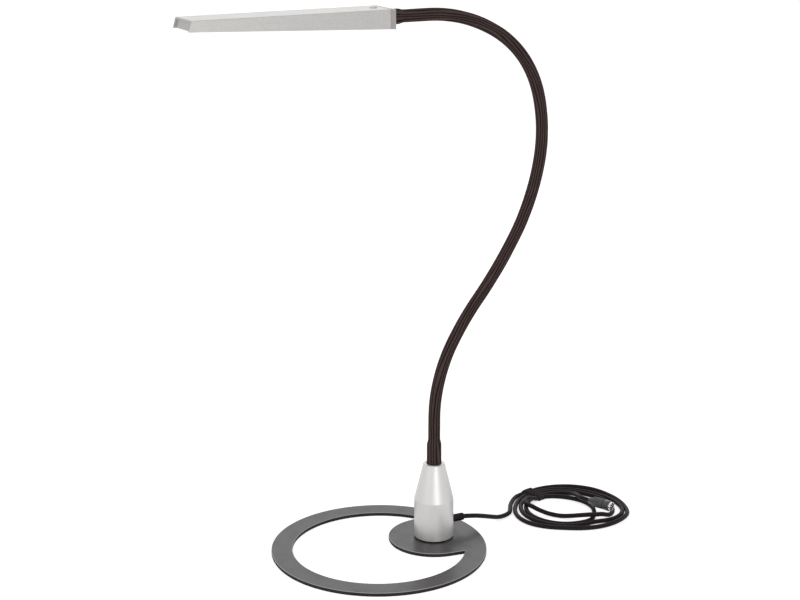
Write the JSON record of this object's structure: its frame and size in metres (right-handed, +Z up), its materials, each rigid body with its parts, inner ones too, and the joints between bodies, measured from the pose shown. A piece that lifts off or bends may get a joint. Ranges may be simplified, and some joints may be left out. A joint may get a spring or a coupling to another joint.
{
  "type": "table lamp",
  "caption": "desk lamp with a thin open D-shaped base plate, short brushed column, flexible sleeved arm, slim bar head and tied low-voltage cord",
  "frame": {"origin": "on the surface the lamp stands on, on the column's axis", "axes": "+Z up; the arm bends over in the XZ plane and the head points to -X; Y across the head"},
  "size_m": [0.4741, 0.216, 0.5412],
  "materials": {
    "plate_steel": "satin grey steel",
    "liner": "matt black",
    "column_metal": "fine brushed",
    "black_plastic": "matt",
    "screw_steel": "plain",
    "sleeve_end": "satin black",
    "sleeve": "ribbed lengthwise, matt",
    "gooseneck": "plain",
    "boot_rubber": "matt",
    "cord_jacket": "satin",
    "head_metal": "brushed lengthwise",
    "cap_metal": "satin, darker",
    "diffuser_plastic": "translucent white",
    "board": "white solder mask",
    "led_lens": "yellow lens",
    "heat_metal": "plain",
    "button_plastic": "satin grey",
    "spring_steel": "plain",
    "tie_plastic": "matt",
    "plug_plastic": "satin dark grey",
    "plug_metal": "bright",
    "pin_brass": "plain"
  },
  "bodies": {
    "base": {"base_plate": "plate_steel", "base_liner": "liner", "column_shell": "column_metal", "column_gasket": "black_plastic", "column_screws": "screw_steel", "lower_ferrule": "sleeve_end", "ferrule_screw": "screw_steel", "cord_boot": "boot_rubber", "cord_inner": "cord_jacket", "wire_splice": "black_plastic", "sleeve_1": "sleeve", "conduit_1": "gooseneck", "arm_cable_1": "cord_jacket", "cord_lead": "cord_jacket", "cord_coil": "cord_jacket", "cord_tail": "cord_jacket", "coil_tie": "tie_plastic", "plug_boot": "boot_rubber", "plug_body": "plug_plastic", "plug_shell": "plug_metal", "plug_insert": "black_plastic", "plug_pins": "pin_brass"},
    "arm_2": {"sleeve_2": "sleeve", "conduit_2": "gooseneck", "arm_cable_2": "cord_jacket"},
    "arm_3": {"sleeve_3": "sleeve", "conduit_3": "gooseneck", "arm_cable_3": "cord_jacket"},
    "arm_4": {"sleeve_4": "sleeve", "conduit_4": "gooseneck", "arm_cable_4": "cord_jacket"},
    "arm_5": {"sleeve_5": "sleeve", "conduit_5": "gooseneck", "arm_cable_5": "cord_jacket"},
    "arm_6": {"sleeve_6": "sleeve", "conduit_6": "gooseneck", "arm_cable_6": "cord_jacket"},
    "arm_7": {"sleeve_7": "sleeve", "conduit_7": "gooseneck", "arm_cable_7": "cord_jacket"},
    "arm_8": {"sleeve_8": "sleeve", "conduit_8": "gooseneck", "arm_cable_8": "cord_jacket"},
    "head": {"upper_ferrule": "sleeve_end", "arm_nut": "screw_steel", "head_housing": "head_metal", "tip_plate": "head_metal", "rear_cap": "cap_metal", "cap_screws": "screw_steel", "diffuser": "diffuser_plastic", "led_board": "board", "leds": "led_lens", "heat_bar": "heat_metal", "switch_board": "board", "button_spring": "spring_steel", "sleeve_9": "sleeve", "conduit_9": "gooseneck", "arm_cable_9": "cord_jacket"},
    "button": {"power_button": "button_plastic"}
  },
  "joints": [
    {"name": "arm_bend_1", "type": "hinge", "parent": "base", "child": "arm_2", "pos_m": [0, 0, 0.13], "axis": [0, 1, 0], "range_deg": [-34, 34]},
    {"name": "arm_bend_2", "type": "hinge", "parent": "arm_2", "child": "arm_3", "pos_m": [0.01982, 0, 0.20663], "axis": [0.8746, 0, -0.4848], "range_deg": [-34, 34]},
    {"name": "arm_bend_3", "type": "hinge", "parent": "arm_3", "child": "arm_4", "pos_m": [0.04774, 0, 0.24803], "axis": [0, -1, 0], "range_deg": [-34, 34]},
    {"name": "arm_bend_4", "type": "hinge", "parent": "arm_4", "child": "arm_5", "pos_m": [0.08704, 0, 0.30467], "axis": [-0.8616, 0, 0.5075], "range_deg": [-34, 34]},
    {"name": "arm_bend_5", "type": "hinge", "parent": "arm_5", "child": "arm_6", "pos_m": [0.11595, 0, 0.38306], "axis": [0, 1, 0], "range_deg": [-34, 34]},
    {"name": "arm_bend_6", "type": "hinge", "parent": "arm_6", "child": "arm_7", "pos_m": [0.11306, 0, 0.44946], "axis": [0.9659, 0, 0.2588], "range_deg": [-34, 34]},
    {"name": "arm_bend_7", "type": "hinge", "parent": "arm_7", "child": "arm_8", "pos_m": [0.06332, 0, 0.51313], "axis": [0, -1, 0], "range_deg": [-34, 34]},
    {"name": "arm_bend_8", "type": "hinge", "parent": "arm_8", "child": "head", "pos_m": [-0.00953, 0, 0.53163], "axis": [0.0087, 0, -1], "range_deg": [-34, 34]},
    {"name": "button_press", "type": "slide", "parent": "head", "child": "button", "axis": [0.0087, 0, -1], "range_m": [0, 0.0008], "stiffness_N_per_m": 600}
  ]
}
